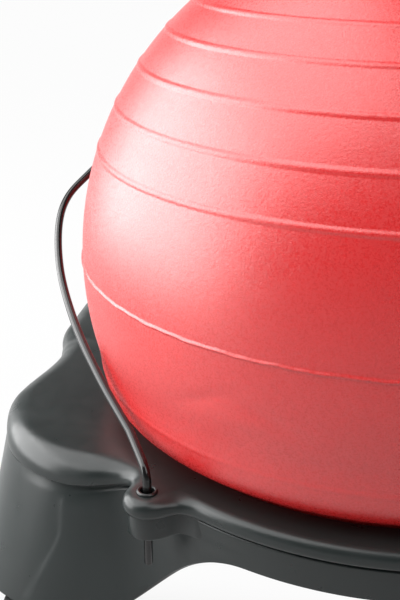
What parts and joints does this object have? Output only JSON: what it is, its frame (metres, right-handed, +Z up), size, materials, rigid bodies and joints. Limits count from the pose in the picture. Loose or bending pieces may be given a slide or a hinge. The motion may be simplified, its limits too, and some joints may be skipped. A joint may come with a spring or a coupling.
{
  "type": "balance ball chair",
  "caption": "Inflated ball seat held by a bent bar in a moulded ring base on twin-wheel casters, with a lumbar support that slides on a tilted tube post.",
  "frame": {"origin": "on the floor under the middle of the whole chair", "axes": "+Z up, -Y towards the front of the chair, +X to the right as seen from the front"},
  "size_m": [0.681, 0.6406, 0.7627],
  "materials": {
    "ball_vinyl": "satin, with fine sparkle",
    "base_plastic": "satin, fine grain",
    "caster_plastic": "satin",
    "wheel_plastic": "satin",
    "bar_paint": "gloss",
    "post_paint": "satin",
    "bright_steel": "bright",
    "socket_plastic": "satin"
  },
  "bodies": {
    "base": {"base_cover": "base_plastic", "base_frame": "base_plastic", "retaining_bar": "bar_paint", "back_post": "post_paint", "bar_eyelet_left": "socket_plastic", "bar_eyelet_right": "socket_plastic", "post_collar_left": "socket_plastic", "post_collar_right": "socket_plastic", "caster_socket_front_left": "socket_plastic", "caster_stem_front_left": "bright_steel", "caster_socket_front_right": "socket_plastic", "caster_stem_front_right": "bright_steel", "caster_socket_rear_left": "socket_plastic", "caster_stem_rear_left": "bright_steel", "caster_socket_rear_right": "socket_plastic", "caster_stem_rear_right": "bright_steel"},
    "ball": {"ball": "ball_vinyl", "ball_plug": "ball_vinyl"},
    "caster_front_left": {"caster_housing_front_left": "caster_plastic", "caster_axle_front_left": "bright_steel", "brake_pin_front_left": "bright_steel"},
    "wheel_front_left_a": {"caster_wheel_front_left_a": "wheel_plastic"},
    "wheel_front_left_b": {"caster_wheel_front_left_b": "wheel_plastic"},
    "brake_front_left": {"brake_lever_front_left": "caster_plastic"},
    "caster_front_right": {"caster_housing_front_right": "caster_plastic", "caster_axle_front_right": "bright_steel", "brake_pin_front_right": "bright_steel"},
    "wheel_front_right_a": {"caster_wheel_front_right_a": "wheel_plastic"},
    "wheel_front_right_b": {"caster_wheel_front_right_b": "wheel_plastic"},
    "brake_front_right": {"brake_lever_front_right": "caster_plastic"},
    "caster_rear_left": {"caster_housing_rear_left": "caster_plastic", "caster_axle_rear_left": "bright_steel"},
    "wheel_rear_left_a": {"caster_wheel_rear_left_a": "wheel_plastic"},
    "wheel_rear_left_b": {"caster_wheel_rear_left_b": "wheel_plastic"},
    "caster_rear_right": {"caster_housing_rear_right": "caster_plastic", "caster_axle_rear_right": "bright_steel"},
    "wheel_rear_right_a": {"caster_wheel_rear_right_a": "wheel_plastic"},
    "wheel_rear_right_b": {"caster_wheel_rear_right_b": "wheel_plastic"},
    "backrest": {"back_bracket": "caster_plastic", "back_shell": "base_plastic", "back_bolt_1": "bright_steel", "back_bolt_2": "bright_steel", "back_bolt_3": "bright_steel", "back_bolt_4": "bright_steel"},
    "knob_left": {"height_knob_left": "caster_plastic"},
    "knob_right": {"height_knob_right": "caster_plastic"}
  },
  "joints": [
    {"name": "ball_spin", "type": "hinge", "parent": "base", "child": "ball", "pos_m": [0, -0.05835, 0.312], "axis": [0, 0, 1], "continuous": true},
    {"name": "swivel_front_left", "type": "hinge", "parent": "base", "child": "caster_front_left", "pos_m": [-0.27504, -0.19839, 0.045], "axis": [0, 0, 1], "continuous": true},
    {"name": "roll_front_left_a", "type": "hinge", "parent": "caster_front_left", "child": "wheel_front_left_a", "pos_m": [-0.27504, -0.21839, 0.02452], "axis": [1, 0, 0], "continuous": true},
    {"name": "roll_front_left_b", "type": "hinge", "parent": "caster_front_left", "child": "wheel_front_left_b", "pos_m": [-0.27504, -0.21839, 0.02452], "axis": [1, 0, 0], "continuous": true},
    {"name": "brake_front_left_press", "type": "hinge", "parent": "caster_front_left", "child": "brake_front_left", "pos_m": [-0.27504, -0.24691, 0.03163], "axis": [1, 0, 0], "range_deg": [0, 18]},
    {"name": "swivel_front_right", "type": "hinge", "parent": "base", "child": "caster_front_right", "pos_m": [0.27504, -0.19839, 0.045], "axis": [0, 0, 1], "continuous": true},
    {"name": "roll_front_right_a", "type": "hinge", "parent": "caster_front_right", "child": "wheel_front_right_a", "pos_m": [0.27504, -0.21839, 0.02452], "axis": [1, 0, 0], "continuous": true},
    {"name": "roll_front_right_b", "type": "hinge", "parent": "caster_front_right", "child": "wheel_front_right_b", "pos_m": [0.27504, -0.21839, 0.02452], "axis": [1, 0, 0], "continuous": true},
    {"name": "brake_front_right_press", "type": "hinge", "parent": "caster_front_right", "child": "brake_front_right", "pos_m": [0.27504, -0.24691, 0.03163], "axis": [1, 0, 0], "range_deg": [0, 18]},
    {"name": "swivel_rear_left", "type": "hinge", "parent": "base", "child": "caster_rear_left", "pos_m": [-0.27204, 0.12169, 0.045], "axis": [0, 0, 1], "continuous": true},
    {"name": "roll_rear_left_a", "type": "hinge", "parent": "caster_rear_left", "child": "wheel_rear_left_a", "pos_m": [-0.27204, 0.14169, 0.02452], "axis": [1, 0, 0], "continuous": true},
    {"name": "roll_rear_left_b", "type": "hinge", "parent": "caster_rear_left", "child": "wheel_rear_left_b", "pos_m": [-0.27204, 0.14169, 0.02452], "axis": [1, 0, 0], "continuous": true},
    {"name": "swivel_rear_right", "type": "hinge", "parent": "base", "child": "caster_rear_right", "pos_m": [0.27204, 0.12169, 0.045], "axis": [0, 0, 1], "continuous": true},
    {"name": "roll_rear_right_a", "type": "hinge", "parent": "caster_rear_right", "child": "wheel_rear_right_a", "pos_m": [0.27204, 0.14169, 0.02452], "axis": [1, 0, 0], "continuous": true},
    {"name": "roll_rear_right_b", "type": "hinge", "parent": "caster_rear_right", "child": "wheel_rear_right_b", "pos_m": [0.27204, 0.14169, 0.02452], "axis": [1, 0, 0], "continuous": true},
    {"name": "backrest_height", "type": "slide", "parent": "base", "child": "backrest", "axis": [0, 0.2079, 0.9781], "range_m": [-0.05, 0.05]},
    {"name": "knob_left_turn", "type": "hinge", "parent": "backrest", "child": "knob_left", "pos_m": [-0.105, 0.28186, 0.6404], "axis": [0, 0.9781, -0.2079], "range_deg": [0, 360]},
    {"name": "knob_right_turn", "type": "hinge", "parent": "backrest", "child": "knob_right", "pos_m": [0.105, 0.28186, 0.6404], "axis": [0, 0.9781, -0.2079], "range_deg": [0, 360]}
  ]
}
